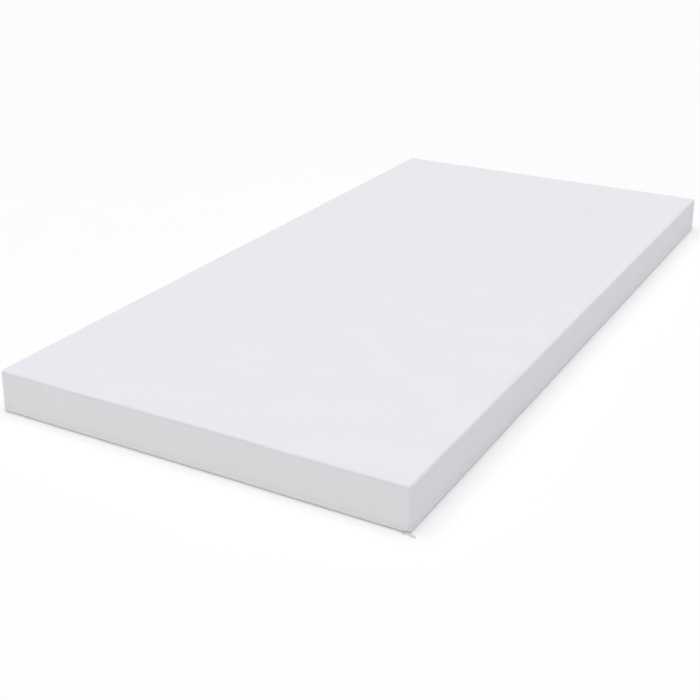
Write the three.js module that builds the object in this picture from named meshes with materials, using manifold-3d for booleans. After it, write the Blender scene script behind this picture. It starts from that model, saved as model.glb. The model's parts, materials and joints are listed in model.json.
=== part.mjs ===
// Memory foam mattress with a removable knitted cover, closed all round by a zip
// just above the underside. Millimetres, +Z up. The origin is the centre of the
// flat underside. +Y runs along the length, +X across the width; the zip is
// parked at the corner of the -Y end and the +X side.
//
// How it comes apart:
//   lower half of the cover : underside panel, lower zip tape and coil, seam, stops
//   core                    : support foam base with the memory foam layer bonded on it
//   upper half of the cover : top panel, four border strips, seams, upper tape and coil, care label
//   slider and its pull     : run along the chain
//
// Section of the edge: "d" is the distance inwards from the outer face of the border.

import * as THREE from 'three';
import { mergeVertices } from 'three/addons/utils/BufferGeometryUtils.js';
import Module from 'manifold-3d';

const wasm = await Module();
wasm.setup();

// ---------------------------------------------------------------- dimensions
const WIDTH = 1000;            // over the border strips, along X
const LENGTH = 2000;           // over the border strips, along Y
const HEIGHT = 100;            // underside to top panel
const CORNER_R = 6.5;          // vertical corners of the cover, outer face
const CORNER_SEGS = 6;         // facets in each vertical corner
const EDGE_R = 6;              // roll of the top panel over the top edge
const GAP = 0.3;               // clearance between pieces that touch

const FABRIC = 2.5;            // double knit with a thin wadding
const UNDER_T = 1.6;           // underside panel
const UNDER_INSET = 3.2;       // underside panel stands this far inside the border
const BORDER_Z0 = 5.4;         // lower edge of the border strips
const LIP_T = 1.2;             // thin lip that hangs from the border over the zip
const LIP_Z0 = 3.3;
const HEM_D = 4.4;             // folded hem: depth inwards
const HEM_Z1 = 17.5;           // folded hem: top
const SEAM_Z = HEIGHT - EDGE_R;  // seam between top panel and border strips

const TAPE_D0 = 4.8;           // zip tape, outer face
const TAPE_T = 0.6;
const TAPE_WIDE = 13;          // how far the lower tape reaches in over the underside panel
const UP_TAPE_Z1 = 22;         // top of the upper tape, behind the hem
const COIL_D0 = 3.1;           // coils stand on the outer side of the tapes
const COIL_D1 = 4.5;
const LOW_COIL = [1.9, 3.0];   // z range of the lower coil
const UP_COIL = [4.0, 5.1];    // z range of the upper coil

const CORE_D = 7.6;            // foam stands this far inside the border's outer face
const CORE_Z0 = 3.8;
const MEMORY_T = 40;           // memory foam layer
const MEMORY_Z1 = HEIGHT - FABRIC - GAP;
const MEMORY_Z0 = MEMORY_Z1 - MEMORY_T;
const SUPPORT_Z1 = MEMORY_Z0 - GAP;
const MEMORY_EASE = 4;         // rounded upper edge of the memory foam

const THREAD = 0.7;            // stitched seams, drawn as one square cord each

const CHAIN_END_X = 491.8;     // where the closed chain ends, on the -Y end
const CHAIN_START_Y = -990.0;  // where it starts, on the +X side
const SLIDER_X = 487;          // parked slider, centre
const SLIDER_LEN = 9;
const PULL_OUT = 1.0;          // the pull's pivot stands this far out from the border's face
const PULL_Z = 2.5;            // middle of the pull
const PULL_LEN = 28;           // pivot to tip
const PULL_REST = 8;           // degrees the pull stands off the face at rest
const PULL_T = 1.2;

const LABEL = { x0: -342, x1: -302, z0: 41, z1: 93.4, t: 0.5 };

// ------------------------------------------------------------------- colours
const finish = (hex, roughness, metalness = 0) =>
  new THREE.MeshStandardMaterial({ color: hex, roughness, metalness });
const knit = () => finish(0xf1f2f5, 0.92);
const underKnit = () => finish(0xe9eaed, 0.95);
const tapeWhite = () => finish(0xeceded, 0.8);
const coilWhite = () => finish(0xf4f4f2, 0.35);
const thread = () => finish(0xf3f3f3, 0.6);
const nickel = () => finish(0xb9bbbf, 0.3, 0.9);

// ------------------------------------------------------------------- helpers
// Outline of the mattress, inset by d, as a closed ring of points.
function outline(d, w = WIDTH, l = LENGTH) {
  const r = Math.max(CORNER_R - d, 0.6);
  const hx = w / 2 - d, hy = l / 2 - d;
  const pts = [];
  const centres = [[hx - r, hy - r, 0], [-(hx - r), hy - r, 90], [-(hx - r), -(hy - r), 180], [hx - r, -(hy - r), 270]];
  for (const [cx, cy, a0] of centres) {
    for (let i = 0; i <= CORNER_SEGS; i++) {
      const a = THREE.MathUtils.degToRad(a0 + (90 * i) / CORNER_SEGS);
      pts.push(new THREE.Vector2(cx + r * Math.cos(a), cy + r * Math.sin(a)));
    }
  }
  return pts;
}

function prism(points, z0, z1, hole = null) {
  const shape = new THREE.Shape(points);
  if (hole) shape.holes.push(new THREE.Path([...hole].reverse()));
  const g = new THREE.ExtrudeGeometry(shape, { depth: z1 - z0, bevelEnabled: false, steps: 1 });
  g.translate(0, 0, z0);
  return g;
}

const slab = (d, z0, z1) => prism(outline(d), z0, z1);
const ring = (d0, d1, z0, z1) => prism(outline(d0), z0, z1, outline(d1));

function box(x0, x1, y0, y1, z0, z1) {
  const g = new THREE.BoxGeometry(x1 - x0, y1 - y0, z1 - z0);
  g.translate((x0 + x1) / 2, (y0 + y1) / 2, (z0 + z1) / 2);
  return g;
}

// Slab with its horizontal edges rounded by r at the top, flat and square below.
function easedSlab(d, r, z0, z1, segments) {
  const inner = outline(d + r);
  const low = Math.min(z0, z1 - 3 * r) - r;
  const g = new THREE.ExtrudeGeometry(new THREE.Shape(inner), {
    depth: z1 - r - low, bevelEnabled: true, bevelThickness: r, bevelSize: r, bevelSegments: segments, steps: 1,
  });
  g.translate(0, 0, low);
  return intersect(g, box(-WIDTH, WIDTH, -LENGTH, LENGTH, z0, z1 + 10));
}

function solid(geometry) {
  const g = geometry.clone();
  g.deleteAttribute('normal');
  g.deleteAttribute('uv');
  const m = mergeVertices(g, 1e-4);
  return new wasm.Manifold(new wasm.Mesh({
    numProp: 3,
    vertProperties: new Float32Array(m.attributes.position.array),
    triVerts: new Uint32Array(m.index.array),
  }));
}

function geometryOf(manifold) {
  const mesh = manifold.getMesh();
  const n = mesh.vertProperties.length / mesh.numProp;
  const pos = new Float32Array(n * 3);
  for (let i = 0; i < n; i++) for (let k = 0; k < 3; k++) pos[3 * i + k] = mesh.vertProperties[i * mesh.numProp + k];
  const g = new THREE.BufferGeometry();
  g.setAttribute('position', new THREE.BufferAttribute(pos, 3));
  g.setIndex(new THREE.BufferAttribute(new Uint32Array(mesh.triVerts), 1));
  g.computeVertexNormals();
  return g;
}

const join = (...gs) => geometryOf(gs.map(solid).reduce((a, b) => a.add(b)));
const cut = (g, ...tools) => geometryOf(tools.map(solid).reduce((a, b) => a.subtract(b), solid(g)));
const intersect = (a, b) => geometryOf(solid(a).intersect(solid(b)));

// -------------------------------------------------------------------- groups
const mattress = new THREE.Group();
const lowerCover = new THREE.Group();
const core = new THREE.Group();
const upperCover = new THREE.Group();
const slider = new THREE.Group();
mattress.add(lowerCover, core, upperCover, slider);

function part(parent, name, geometry, material) {
  const mesh = new THREE.Mesh(geometry, material);
  mesh.name = name;
  parent.add(mesh);
  return mesh;
}

// ------------------------------------------------------- lower half of cover
part(lowerCover, 'cover_underside_panel', slab(UNDER_INSET, 0, UNDER_T), underKnit());

// Lower zip tape: an upright leg that carries the coil and a flat leg that is
// sewn down on the underside panel.
part(lowerCover, 'zip_tape_lower', join(
  ring(TAPE_D0, TAPE_D0 + TAPE_T, LOW_COIL[0], LOW_COIL[1]),
  ring(TAPE_D0, TAPE_D0 + TAPE_WIDE, UNDER_T + GAP, UNDER_T + GAP + TAPE_T),
), tapeWhite());

part(lowerCover, 'underside_seam_thread',
  ring(12, 12 + THREAD, UNDER_T + 2 * GAP + TAPE_T, UNDER_T + 2 * GAP + TAPE_T + THREAD), thread());

// The chain is open at the corner where the zip starts and ends.
const cornerOut = box(CHAIN_END_X, WIDTH, -LENGTH, CHAIN_START_Y, -5, 30);
part(lowerCover, 'zip_coil_lower', cut(ring(COIL_D0, COIL_D1, ...LOW_COIL), cornerOut), coilWhite());

// Stops: a clip at the start of the chain and one at its closed end.
function stopClip(alongX) {
  // local frame: s runs along the chain, d inwards
  const z0 = LOW_COIL[0], z1 = UP_COIL[1];
  const s0 = alongX ? CHAIN_END_X + GAP : CHAIN_START_Y - GAP - 1.6;
  const place = (d0, d1, zl, zh) => alongX
    ? box(s0, s0 + 1.6, -LENGTH / 2 + d0, -LENGTH / 2 + d1, zl, zh)
    : box(WIDTH / 2 - d1, WIDTH / 2 - d0, s0, s0 + 1.6, zl, zh);
  return place(COIL_D0 - 0.4, COIL_D1, z0, alongX ? z1 : LOW_COIL[1]);
}
part(lowerCover, 'zip_stop_closed_end', cut(stopClip(true), box(0, WIDTH, -LENGTH, 0, LOW_COIL[1], 30)), nickel());
part(lowerCover, 'zip_stop_start', stopClip(false), nickel());

// -------------------------------------------------------------------- core
part(core, 'support_foam_base', slab(CORE_D, CORE_Z0, SUPPORT_Z1), finish(0xe9ecf2, 1));
part(core, 'memory_foam_layer', easedSlab(CORE_D, MEMORY_EASE, MEMORY_Z0, MEMORY_Z1, 3), finish(0xf5efdc, 1));

// ------------------------------------------------------- upper half of cover
// Border: four strips that meet on the vertical corners. The lower edge is folded
// in to a hem that the upper zip tape is sewn to, and a lip of it hides the chain.
const borderRing = join(
  ring(0, FABRIC, BORDER_Z0, SEAM_Z - GAP),
  ring(0, HEM_D, BORDER_Z0, HEM_Z1),
  ring(0, LIP_T, LIP_Z0, BORDER_Z0 + 1),
);
function cornerCentre(sx, sy) {
  return new THREE.Vector2(sx * (WIDTH / 2 - CORNER_R), sy * (LENGTH / 2 - CORNER_R));
}
// The part of a ring between two corners' diagonals, pulled back by half a gap at each.
function strip(whole, cornerA, cornerB) {
  const a = cornerCentre(...cornerA), b = cornerCentre(...cornerB);
  const along = b.clone().sub(a).normalize();
  const da = new THREE.Vector2(...cornerA).normalize(), db = new THREE.Vector2(...cornerB).normalize();
  const shift = (GAP / 2) * Math.SQRT2;
  const a0 = a.clone().addScaledVector(along, shift), b0 = b.clone().addScaledVector(along, -shift);
  const pts = [a0, b0, b0.clone().addScaledVector(db, 60), a0.clone().addScaledVector(da, 60)];
  if (THREE.ShapeUtils.area(pts) < 0) pts.reverse();
  return intersect(whole, prism(pts, -5, HEIGHT + 5));
}
const SIDES = [
  ['front', [-1, -1], [1, -1]],
  ['right', [1, -1], [1, 1]],
  ['back', [1, 1], [-1, 1]],
  ['left', [-1, 1], [-1, -1]],
];

// Top panel: one piece of knit that rolls over the edge down to the seam. Its flat
// and the roll along each side are separate solids, so that the lid stays open below.
const rollRing = cut(
  easedSlab(0, EDGE_R, SEAM_Z, HEIGHT, 5),
  easedSlab(FABRIC, EDGE_R - FABRIC, SEAM_Z - 5, HEIGHT - FABRIC, 5),
  slab(EDGE_R - GAP, SEAM_Z - 10, HEIGHT + 10),
);
part(upperCover, 'cover_top_panel', slab(EDGE_R, HEIGHT - FABRIC, HEIGHT), knit());
for (const [side, a, b] of SIDES) part(upperCover, `cover_top_roll_${side}`, strip(rollRing, a, b), knit());
for (const [side, a, b] of SIDES) part(upperCover, `cover_border_${side}`, strip(borderRing, a, b), knit());

// Seams: the turned allowances are stitched on the inside of the cover.
part(upperCover, 'top_seam_thread', ring(FABRIC + GAP, FABRIC + GAP + THREAD, 86, 86 + THREAD), thread());
for (const [name, sx, sy] of [['front_right', 1, -1], ['back_right', 1, 1], ['back_left', -1, 1], ['front_left', -1, -1]]) {
  const c = cornerCentre(sx, sy);
  const g = new THREE.BoxGeometry(THREAD, THREAD, 66);
  const mesh = part(upperCover, `corner_seam_thread_${name}`, g, thread());
  const reach = CORNER_R - FABRIC - GAP - THREAD / 2 - 0.3;
  mesh.position.set(c.x + sx * reach * Math.SQRT1_2, c.y + sy * reach * Math.SQRT1_2, 18.5 + 33);
  mesh.rotation.z = Math.PI / 4;
}

part(upperCover, 'zip_tape_upper', ring(TAPE_D0, TAPE_D0 + TAPE_T, UP_COIL[0], UP_TAPE_Z1), tapeWhite());
part(upperCover, 'zip_coil_upper', cut(ring(COIL_D0, COIL_D1, ...UP_COIL), cornerOut), coilWhite());
part(upperCover, 'hem_seam_thread', ring(TAPE_D0 + TAPE_T + GAP, TAPE_D0 + TAPE_T + GAP + THREAD, 13, 13 + THREAD), thread());

// Blank care label, sewn into the top seam at the far end and hanging on the border.
part(upperCover, 'care_label',
  box(LABEL.x0, LABEL.x1, LENGTH / 2 + GAP, LENGTH / 2 + GAP + LABEL.t, LABEL.z0, LABEL.z1), finish(0xf6f6f4, 0.6));

// ------------------------------------------------------------ slider and pull
// Local frame of this group: origin on the outer face of the border below the
// slider, x along the chain, y inwards (d), z as the mattress.
slider.position.set(SLIDER_X, -LENGTH / 2, 0);

// Plate outside the coils, plate behind the tapes, and the web that passes
// between the two coils. The bridge comes out under the lip and holds the pull.
{
  const half = SLIDER_LEN / 2;
  const z0 = 0.8, z1 = 5.0, zm = (z0 + z1) / 2;
  const plateShape = new THREE.Shape([
    [-half, zm - 1.2], [-half + 1.2, z0], [half - 1.2, z0], [half, zm - 1.5], [half, zm + 1.5], [half - 1.2, z1],
    [-half + 1.2, z1], [-half, zm + 1.2],
  ].map(([x, z]) => new THREE.Vector2(x, z)));
  const outer = new THREE.ExtrudeGeometry(plateShape, { depth: 1.3, bevelEnabled: false });
  outer.rotateX(Math.PI / 2);            // plate lies in XZ, thickness along -y
  outer.translate(0, 2.8, 0);
  const inner = box(-half + 0.6, half - 0.6, 5.7, 6.9, 2.8, 5.0);
  const web = box(-2.6, 3, 2.6, 5.9, 3.3, 3.7);
  const legs = [-1, 1].map((s) => box(s * 2.6 - 0.5, s * 2.6 + 0.5, -PULL_OUT - 2.3, 1.7, 2.0, 3.0));
  const bar = box(-3.1, 3.1, -PULL_OUT - 2.4, -PULL_OUT - 1.4, 2.0, 3.0);
  part(slider, 'zip_slider', join(outer, inner, web, ...legs, bar), nickel());
}

// Pull: a cross-bar inside the bridge, two arms that pass above and below the
// bridge, a neck, and a paddle with two oval windows.
{
  const side = (x0, x1, z0, z1) => box(x0, x1, -PULL_T / 2, PULL_T / 2, z0, z1);
  const bar = new THREE.CylinderGeometry(0.55, 0.55, 3.6, 12);
  bar.rotateX(Math.PI / 2);
  bar.translate(0, 0, PULL_Z);
  const armLow = side(0, 5.2, PULL_Z - 1.8, PULL_Z - 0.8), armHigh = side(0, 5.2, PULL_Z + 0.8, PULL_Z + 1.8);
  const r = 2.3, neck = 1.8;
  const paddle = new THREE.Shape();
  paddle.moveTo(4.8, -neck);
  paddle.lineTo(11, -neck);
  paddle.lineTo(13, -r);
  paddle.lineTo(PULL_LEN - r, -r);
  paddle.absarc(PULL_LEN - r, 0, r, -Math.PI / 2, Math.PI / 2, false);
  paddle.lineTo(13, r);
  paddle.lineTo(11, neck);
  paddle.lineTo(4.8, neck);
  paddle.closePath();
  const w = 1.35;
  for (const [x0, x1] of [[14.6, 20.0], [21.4, 26.8]]) {
    const eye = new THREE.Path();
    eye.moveTo(x0 + w, w);
    eye.absarc(x0 + w, 0, w, Math.PI / 2, (3 * Math.PI) / 2, false);
    eye.lineTo(x1 - w, -w);
    eye.absarc(x1 - w, 0, w, -Math.PI / 2, Math.PI / 2, false);
    eye.closePath();
    paddle.holes.push(eye);
  }
  const plate = new THREE.ExtrudeGeometry(paddle, { depth: PULL_T, bevelEnabled: false, curveSegments: 8 });
  plate.rotateX(Math.PI / 2);
  plate.translate(0, PULL_T / 2, PULL_Z);
  const pull = part(slider, 'zip_pull', join(bar, armLow, armHigh, plate), nickel());
  pull.position.set(0, -PULL_OUT, 0);
  pull.rotation.z = -THREE.MathUtils.degToRad(PULL_REST);
}

export default mattress;
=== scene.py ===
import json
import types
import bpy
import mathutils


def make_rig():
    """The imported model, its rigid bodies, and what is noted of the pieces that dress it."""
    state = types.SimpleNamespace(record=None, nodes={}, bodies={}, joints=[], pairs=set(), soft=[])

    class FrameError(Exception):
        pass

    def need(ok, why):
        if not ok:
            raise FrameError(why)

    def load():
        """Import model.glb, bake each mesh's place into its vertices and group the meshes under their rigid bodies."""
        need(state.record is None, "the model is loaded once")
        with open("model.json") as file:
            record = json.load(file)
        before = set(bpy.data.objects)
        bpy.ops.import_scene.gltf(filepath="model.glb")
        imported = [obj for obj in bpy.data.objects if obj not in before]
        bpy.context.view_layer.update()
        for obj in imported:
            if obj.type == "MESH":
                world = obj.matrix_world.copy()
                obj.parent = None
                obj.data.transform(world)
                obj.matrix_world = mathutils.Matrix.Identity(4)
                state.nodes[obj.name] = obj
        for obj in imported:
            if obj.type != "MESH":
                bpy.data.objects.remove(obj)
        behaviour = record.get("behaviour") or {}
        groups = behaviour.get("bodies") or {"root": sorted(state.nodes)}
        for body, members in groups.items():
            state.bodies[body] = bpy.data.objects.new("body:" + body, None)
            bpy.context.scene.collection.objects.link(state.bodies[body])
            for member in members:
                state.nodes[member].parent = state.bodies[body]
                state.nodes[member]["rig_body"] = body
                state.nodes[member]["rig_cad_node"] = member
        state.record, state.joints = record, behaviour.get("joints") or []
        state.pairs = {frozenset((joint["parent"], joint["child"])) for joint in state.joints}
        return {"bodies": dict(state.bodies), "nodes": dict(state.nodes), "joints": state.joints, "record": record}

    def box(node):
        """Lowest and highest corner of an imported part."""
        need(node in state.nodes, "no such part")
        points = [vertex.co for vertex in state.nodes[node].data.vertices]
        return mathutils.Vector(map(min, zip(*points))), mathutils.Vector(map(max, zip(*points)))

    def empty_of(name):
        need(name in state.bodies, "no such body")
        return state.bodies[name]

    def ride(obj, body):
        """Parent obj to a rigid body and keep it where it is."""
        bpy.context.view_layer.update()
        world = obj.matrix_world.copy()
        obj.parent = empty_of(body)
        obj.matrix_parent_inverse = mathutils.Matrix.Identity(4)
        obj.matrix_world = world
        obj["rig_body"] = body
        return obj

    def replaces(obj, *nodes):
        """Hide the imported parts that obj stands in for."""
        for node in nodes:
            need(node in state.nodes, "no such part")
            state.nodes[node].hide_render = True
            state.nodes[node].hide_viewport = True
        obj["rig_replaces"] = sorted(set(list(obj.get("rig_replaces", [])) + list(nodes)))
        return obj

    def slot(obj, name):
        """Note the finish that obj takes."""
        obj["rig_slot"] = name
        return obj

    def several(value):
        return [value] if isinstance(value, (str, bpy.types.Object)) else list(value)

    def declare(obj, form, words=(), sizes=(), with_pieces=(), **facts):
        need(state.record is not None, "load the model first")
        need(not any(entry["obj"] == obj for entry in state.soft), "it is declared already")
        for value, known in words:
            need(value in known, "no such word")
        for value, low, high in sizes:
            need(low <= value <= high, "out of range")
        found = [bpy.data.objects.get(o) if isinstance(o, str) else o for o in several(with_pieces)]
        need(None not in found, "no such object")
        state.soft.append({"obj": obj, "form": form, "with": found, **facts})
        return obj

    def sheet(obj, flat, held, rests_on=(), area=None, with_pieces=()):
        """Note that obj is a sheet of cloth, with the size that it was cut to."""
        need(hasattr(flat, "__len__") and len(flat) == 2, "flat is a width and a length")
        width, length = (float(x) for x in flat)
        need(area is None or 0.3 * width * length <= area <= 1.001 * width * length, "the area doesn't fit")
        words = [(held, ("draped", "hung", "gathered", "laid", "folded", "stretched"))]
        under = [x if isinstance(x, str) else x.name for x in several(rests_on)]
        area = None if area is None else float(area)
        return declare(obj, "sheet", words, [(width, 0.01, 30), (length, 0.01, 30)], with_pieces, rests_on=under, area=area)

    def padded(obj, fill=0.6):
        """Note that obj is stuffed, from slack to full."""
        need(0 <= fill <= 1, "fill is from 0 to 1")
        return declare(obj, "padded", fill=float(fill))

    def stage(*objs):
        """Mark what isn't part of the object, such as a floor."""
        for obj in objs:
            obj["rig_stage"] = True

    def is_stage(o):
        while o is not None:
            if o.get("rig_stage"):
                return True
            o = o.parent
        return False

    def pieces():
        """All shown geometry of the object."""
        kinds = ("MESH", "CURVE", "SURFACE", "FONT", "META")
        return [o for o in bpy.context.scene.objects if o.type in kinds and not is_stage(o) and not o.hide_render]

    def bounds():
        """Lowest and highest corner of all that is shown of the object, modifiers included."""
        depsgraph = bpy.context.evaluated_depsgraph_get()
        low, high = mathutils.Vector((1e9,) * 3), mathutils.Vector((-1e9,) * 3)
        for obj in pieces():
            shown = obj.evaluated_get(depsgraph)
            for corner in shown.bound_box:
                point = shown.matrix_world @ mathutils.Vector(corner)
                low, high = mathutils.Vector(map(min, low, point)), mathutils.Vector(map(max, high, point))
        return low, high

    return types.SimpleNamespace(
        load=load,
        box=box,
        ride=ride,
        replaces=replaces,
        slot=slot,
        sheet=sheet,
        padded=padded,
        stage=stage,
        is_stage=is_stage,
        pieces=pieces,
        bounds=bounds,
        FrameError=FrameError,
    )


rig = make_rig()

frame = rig.load()

import json
import math
import bpy
import bmesh
import numpy as np
from mathutils import Vector, Matrix

cad_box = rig.bounds()
MM = 0.001
rng = np.random.RandomState(41)

# --------------------------------------------------------------------------
# Camera, floor and light
# --------------------------------------------------------------------------
cam_data = bpy.data.cameras.new("camera")
cam = bpy.data.objects.new("camera", cam_data)
bpy.context.scene.collection.objects.link(cam)
cam_data.sensor_width = 36.0
cam_data.lens = 1226.5 * 36.0 / 700.0
cam_data.shift_y = -0.2
cam_data.clip_start, cam_data.clip_end = 0.05, 200.0
AZ, PITCH = math.radians(-29.315), math.radians(-17.798)
cam.location = (1.3597, -2.7534, 1.2485)
look = Vector((math.sin(AZ) * math.cos(PITCH), math.cos(AZ) * math.cos(PITCH), math.sin(PITCH)))
cam.rotation_mode = "QUATERNION"
cam.rotation_quaternion = look.to_track_quat("-Z", "Y")
bpy.context.scene.camera = cam

bpy.context.scene.view_settings.view_transform = "Standard"
bpy.context.scene.view_settings.look = "None"

world = bpy.data.worlds.new("studio")
bpy.context.scene.world = world
world.use_nodes = True
sky = world.node_tree.nodes["Background"]
sky.inputs["Color"].default_value = (0.985, 0.99, 1.0, 1.0)
sky.inputs["Strength"].default_value = 0.335


def sun(name, toward, irradiance, color, angle):
    """Soft distant light that comes from the direction toward."""
    d = bpy.data.lights.new(name, "SUN")
    d.energy, d.color, d.angle = irradiance * math.pi, color, math.radians(angle)
    o = bpy.data.objects.new(name, d)
    bpy.context.scene.collection.objects.link(o)
    o.rotation_mode = "QUATERNION"
    o.rotation_quaternion = Vector(toward).to_track_quat("Z", "Y")
    return o


sun("overhead_softbox", (-0.015, -0.09, 1.0), 0.696, (1.0, 1.0, 1.0), 80)
sun("front_fill", (-0.10, -1.0, 0.16), 0.055, (1.0, 0.78, 0.20), 50)


# --------------------------------------------------------------------------
# Mesh helpers
# --------------------------------------------------------------------------
def make_mesh(name, verts, faces, smooth=True):
    """Object from vertices in metres and faces."""
    v = np.asarray(verts, dtype=np.float64)
    me = bpy.data.meshes.new(name)
    sizes = np.array([len(f) for f in faces]) if not isinstance(faces, np.ndarray) else None
    if sizes is None:
        flat = faces.reshape(-1)
        starts = np.arange(0, flat.size, faces.shape[1])
        totals = np.full(len(faces), faces.shape[1])
    else:
        flat = np.concatenate([np.asarray(f) for f in faces])
        starts = np.concatenate([[0], np.cumsum(sizes)[:-1]])
        totals = sizes
    me.vertices.add(len(v))
    me.vertices.foreach_set("co", v.astype(np.float32).reshape(-1))
    me.loops.add(flat.size)
    me.loops.foreach_set("vertex_index", flat.astype(np.int32))
    me.polygons.add(len(starts))
    me.polygons.foreach_set("loop_start", starts.astype(np.int32))
    me.polygons.foreach_set("loop_total", totals.astype(np.int32))
    me.polygons.foreach_set("use_smooth", np.full(len(starts), smooth))
    me.update(calc_edges=True)
    me.validate()
    ob = bpy.data.objects.new(name, me)
    bpy.context.scene.collection.objects.link(ob)
    return ob


def signed_volume(v, tris):
    a, b, c = v[tris[:, 0]], v[tris[:, 1]], v[tris[:, 2]]
    return float(np.einsum("ij,ij->i", a, np.cross(b, c)).sum() / 6)


def grid_faces(nu, nv, wrap_u=False, wrap_v=False):
    """Quads of a vertex grid indexed [u, v]."""
    u = np.arange(nu if wrap_u else nu - 1)
    w = np.arange(nv if wrap_v else nv - 1)
    U, W = np.meshgrid(u, w, indexing="ij")
    U2, W2 = (U + 1) % nu, (W + 1) % nv
    return np.stack([U * nv + W, U2 * nv + W, U2 * nv + W2, U * nv + W2], -1).reshape(-1, 4)


def outward(v, quads, extra=()):
    """Quads and caps turned so that the body's volume is positive."""
    tris = np.concatenate([quads[:, [0, 1, 2]], quads[:, [0, 2, 3]]])
    if signed_volume(v, tris) < 0:
        quads = quads[:, ::-1]
        extra = [list(reversed(f)) for f in extra]
    if not len(extra):
        return quads
    return [list(q) for q in quads] + [list(f) for f in extra]


def waves(n, lo, hi, seed, stretch=(1.0, 1.0)):
    """Smooth seeded noise of two coordinates: n waves with lengths from lo to hi metres, unit rms."""
    r = np.random.RandomState(seed)
    lam = np.exp(r.uniform(math.log(lo), math.log(hi), n))
    th, ph = r.uniform(0, 2 * math.pi, n), r.uniform(0, 2 * math.pi, n)
    kx, ky = np.cos(th) * 2 * math.pi / lam / stretch[0], np.sin(th) * 2 * math.pi / lam / stretch[1]
    amp = (lam / hi) ** 0.7
    amp *= math.sqrt(2) / np.linalg.norm(amp)

    def f(x, y):
        x, y = np.asarray(x, float), np.asarray(y, float)
        out = np.zeros(np.broadcast(x, y).shape)
        for i in range(n):
            out += amp[i] * np.cos(kx[i] * x + ky[i] * y + ph[i])
        return out
    return f


# The outline: every piece follows a rectangle ("skeleton") with rounded corners
# around it. place() puts a point of the outline a distance d in from the outer face;
# past the corner's centre the outline keeps a small radius and the skeleton shrinks.
R = 6.5 * MM
R_MIN = 0.6 * MM
SX, SY, H = 0.5 - R, 1.0 - R, 0.1
SIDES = ("right", "back", "left", "front")


def place(C, N, d):
    """XY of outline points: skeleton points C, outward normals N, inset d (metres, one per point)."""
    d = np.asarray(d, float)
    e = np.maximum(0.0, d + R_MIN - R)
    r = np.maximum(R - d, R_MIN)
    x = C[..., 0] * (1 - e / SX) + N[..., 0] * r
    y = C[..., 1] * (1 - e / SY) + N[..., 1] * r
    return np.stack([x, y], -1)


def side_path(side, straight, half_arc):
    """Skeleton points, outward normals and travel along the outer face for one side,
    from one corner's diagonal to the next, counter-clockwise from above."""
    base = {"right": 0.0, "back": 90.0, "left": 180.0, "front": 270.0}[side]
    a0 = math.radians(base)
    n0 = np.array([math.cos(a0), math.sin(a0)])
    t0 = np.array([-n0[1], n0[0]])
    half = SY if side in ("right", "left") else SX
    mid = n0 * (SX if side in ("right", "left") else SY)
    arc = np.asarray(half_arc)                      # distance from the diagonal along the outer face, in metres
    arc_len = R * math.pi / 4
    C, N, S = [], [], []
    for t in arc[arc < arc_len - 1e-9]:
        ang = a0 - (arc_len - t) / R
        C.append(mid - t0 * half); N.append((math.cos(ang), math.sin(ang))); S.append(t)
    near = arc[arc >= arc_len - 1e-9] - arc_len     # denser points on the straight, next to the corner
    w = np.linspace(-half, half, straight + 1)
    w = np.unique(np.concatenate([w, -half + near, half - near]))
    w = w[np.append(True, np.diff(w) > 1e-6)]
    for x in w:
        C.append(mid + t0 * x); N.append(n0); S.append(arc_len + x + half)
    for t in arc[arc < arc_len - 1e-9][::-1]:
        ang = a0 + (arc_len - t) / R
        C.append(mid + t0 * half); N.append((math.cos(ang), math.sin(ang))); S.append(2 * arc_len + 2 * half - t)
    start = {"right": 0.0, "back": 1, "left": 2, "front": 3}[side]
    lens = [2 * arc_len + 2 * SY, 2 * arc_len + 2 * SX] * 2
    return np.array(C), np.array(N), np.array(S) + sum(lens[: int(start)])


PERIM = 4 * (R * math.pi / 2) + 4 * SX + 4 * SY


def loop_path(nx, ny, arc_n=6):
    """The whole outline as one closed loop; also the index of each point's skeleton vertex in an (nx+1) by (ny+1) grid."""
    arc = np.linspace(0, R * math.pi / 4, arc_n + 1)[:-1]
    C, N, S, idx = [], [], [], []
    vid = lambda i, j: i * (ny + 1) + j
    edge = {
        "right": [vid(nx, j) for j in range(ny + 1)],
        "back": [vid(i, ny) for i in range(nx, -1, -1)],
        "left": [vid(0, j) for j in range(ny, -1, -1)],
        "front": [vid(i, 0) for i in range(nx + 1)],
    }
    for side in SIDES:
        c, n, s = side_path(side, ny if side in ("right", "left") else nx, arc)
        ids = [edge[side][0]] * arc_n + edge[side] + [edge[side][-1]] * arc_n
        keep = slice(0, len(s) - 1)        # the diagonal at the end is the next side's first point
        c, n, s, ids = c[keep], n[keep], s[keep], ids[:-1]
        # the next side starts on the diagonal with t = 0, so nothing is lost
        C.append(c); N.append(n); S.append(s); idx += ids
    return np.concatenate(C), np.concatenate(N), np.concatenate(S), np.array(idx)


def edge_wave(s):
    """How far the soft edge wanders outwards along the outline, in metres."""
    k = np.array([5, 8, 13, 21, 34, 55])
    a = np.array([0.26, 0.22, 0.24, 0.17, 0.10, 0.06]) * MM
    ph = np.array([0.4, 2.1, 4.4, 1.3, 5.6, 3.0])
    return (a[:, None] * np.sin(2 * math.pi * k[:, None] * np.asarray(s)[None] / PERIM + ph[:, None])).sum(0)


def edge_lift(s):
    k = np.array([4, 9, 14, 23, 37])
    a = np.array([0.22, 0.20, 0.16, 0.12, 0.07]) * MM
    ph = np.array([1.9, 0.2, 3.9, 5.1, 2.2])
    return (a[:, None] * np.sin(2 * math.pi * k[:, None] * np.asarray(s)[None] / PERIM + ph[:, None])).sum(0)


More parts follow.
